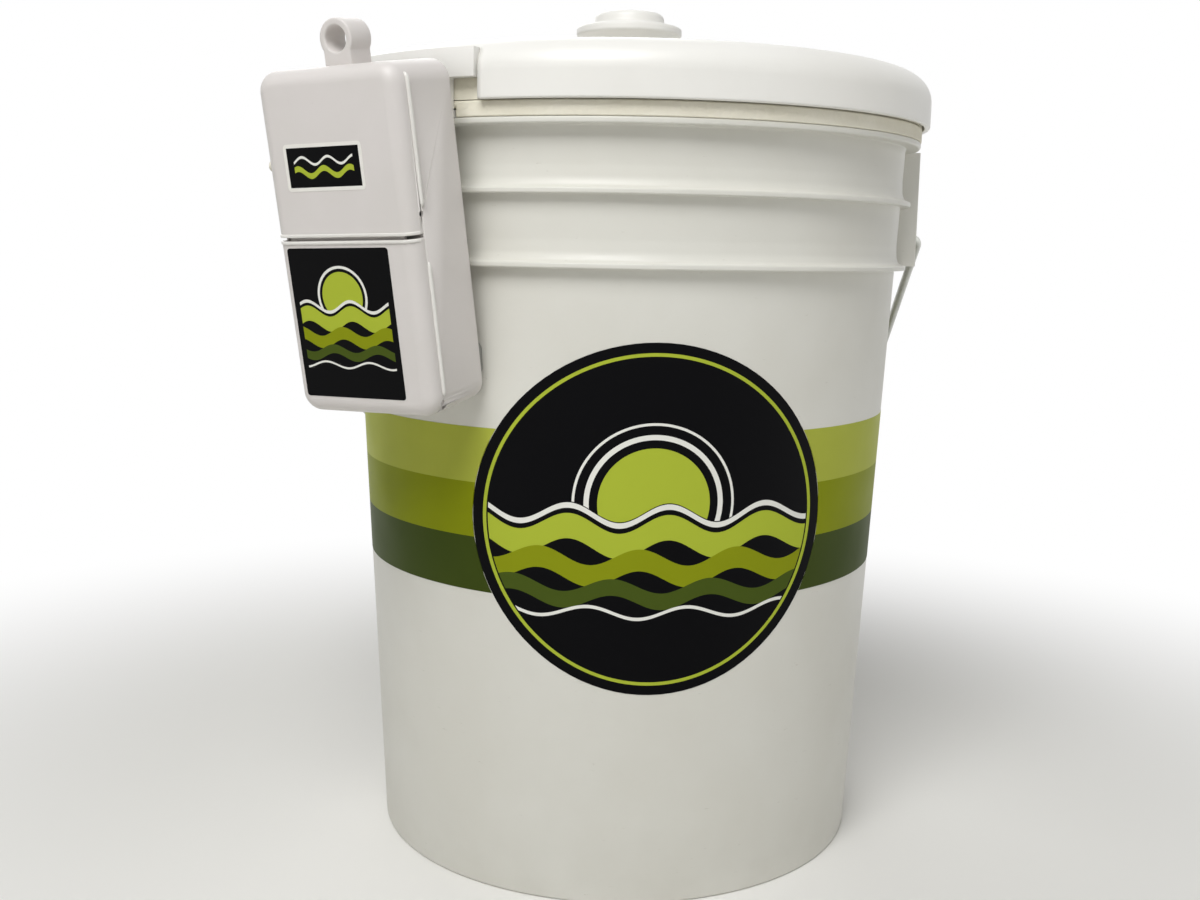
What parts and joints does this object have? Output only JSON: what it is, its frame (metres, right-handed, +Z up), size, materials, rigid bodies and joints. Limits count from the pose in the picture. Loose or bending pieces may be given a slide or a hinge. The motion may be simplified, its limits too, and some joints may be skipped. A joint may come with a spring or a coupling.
{
  "type": "aerated bait bucket",
  "caption": "Insulated round pail for live bait with a lift-off lid, wire bail and a battery air pump hung on its rim.",
  "frame": {"origin": "centre of the pail's foot ring, on the ground", "axes": "+Z up the pail; -Y is the front, towards the round label; the bail's ears lie on X, and the pump hangs about midway between -Y and -X"},
  "size_m": [0.3366, 0.3398, 0.437],
  "materials": {
    "pail_white": "satin",
    "lid_white": "satin",
    "foam": "matte",
    "print_light": "satin",
    "print_middle": "satin",
    "print_dark": "satin",
    "print_black": "satin",
    "steel_wire": "satin",
    "grip_plastic": "satin",
    "housing": "satin",
    "hanger": "satin",
    "steel": "satin",
    "rubber_black": "matte",
    "rubber_grey": "matte",
    "cell_sleeve": "satin",
    "spring_steel": "satin",
    "motor_can": "satin",
    "crank_brass": "satin",
    "nylon": "satin",
    "chassis_grey": "matte",
    "stone_grey": "matte",
    "switch_black": "satin"
  },
  "bodies": {
    "bucket": {"pail": "pail_white", "foam_liner": "foam", "stripe_light": "print_light", "stripe_middle": "print_middle", "stripe_dark": "print_dark", "disc_label": "print_black", "air_stone": "stone_grey", "pump_case": "housing", "pump_cover": "housing", "pump_hanger": "hanger", "pump_bumper": "rubber_grey", "pump_gasket": "rubber_black", "case_screws": "steel", "battery_left": "cell_sleeve", "battery_right": "cell_sleeve", "contact_springs": "spring_steel", "contact_plates": "spring_steel", "chassis": "chassis_grey", "chassis_screws": "steel", "motor": "motor_can", "diaphragm": "rubber_black", "pump_head": "nylon", "outlet_nipple": "nylon", "switch_body": "switch_black", "cover_badge": "print_black"},
    "lid": {"lid_cover": "lid_white", "lid_foam": "foam", "lid_knob": "lid_white", "knob_screw": "steel", "knob_washer": "steel"},
    "bail": {"bail_wire": "steel_wire"},
    "grip": {"bail_grip": "grip_plastic"},
    "battery_door": {"battery_door": "housing", "door_label": "print_black"},
    "switch": {"switch_slider": "switch_black"},
    "crank": {"crank_disc": "crank_brass"},
    "rod": {"connecting_rod": "nylon"}
  },
  "joints": [
    {"name": "lid_lift", "type": "slide", "parent": "bucket", "child": "lid", "axis": [0, 0, 1], "range_m": [0, 0.02]},
    {"name": "bail_swing", "type": "hinge", "parent": "bucket", "child": "bail", "pos_m": [0, 0, 0.3225], "axis": [1, 0, 0], "range_deg": [0, 135.52]},
    {"name": "grip_spin", "type": "hinge", "parent": "bail", "child": "grip", "pos_m": [0, 0.15205, 0.16767], "axis": [1, 0, 0], "continuous": true},
    {"name": "battery_door_slide", "type": "slide", "parent": "bucket", "child": "battery_door", "axis": [0.1063, 0.1241, -0.9866], "range_m": [0, 0.035]},
    {"name": "switch_slide", "type": "slide", "parent": "bucket", "child": "switch", "axis": [-0.1063, -0.1241, 0.9866], "range_m": [0, 0.004]},
    {"name": "crank_turn", "type": "hinge", "parent": "bucket", "child": "crank", "pos_m": [-0.11701, -0.13993, 0.35022], "axis": [-0.523, -0.8369, -0.1616], "continuous": true},
    {"name": "rod_pin", "type": "hinge", "parent": "crank", "child": "rod", "pos_m": [-0.11767, -0.14476, 0.34954], "axis": [-0.523, -0.8369, -0.1616], "continuous": true}
  ],
  "couplings": [
    {"joint": "rod_pin", "follows": "crank_turn", "ratio": -1}
  ]
}
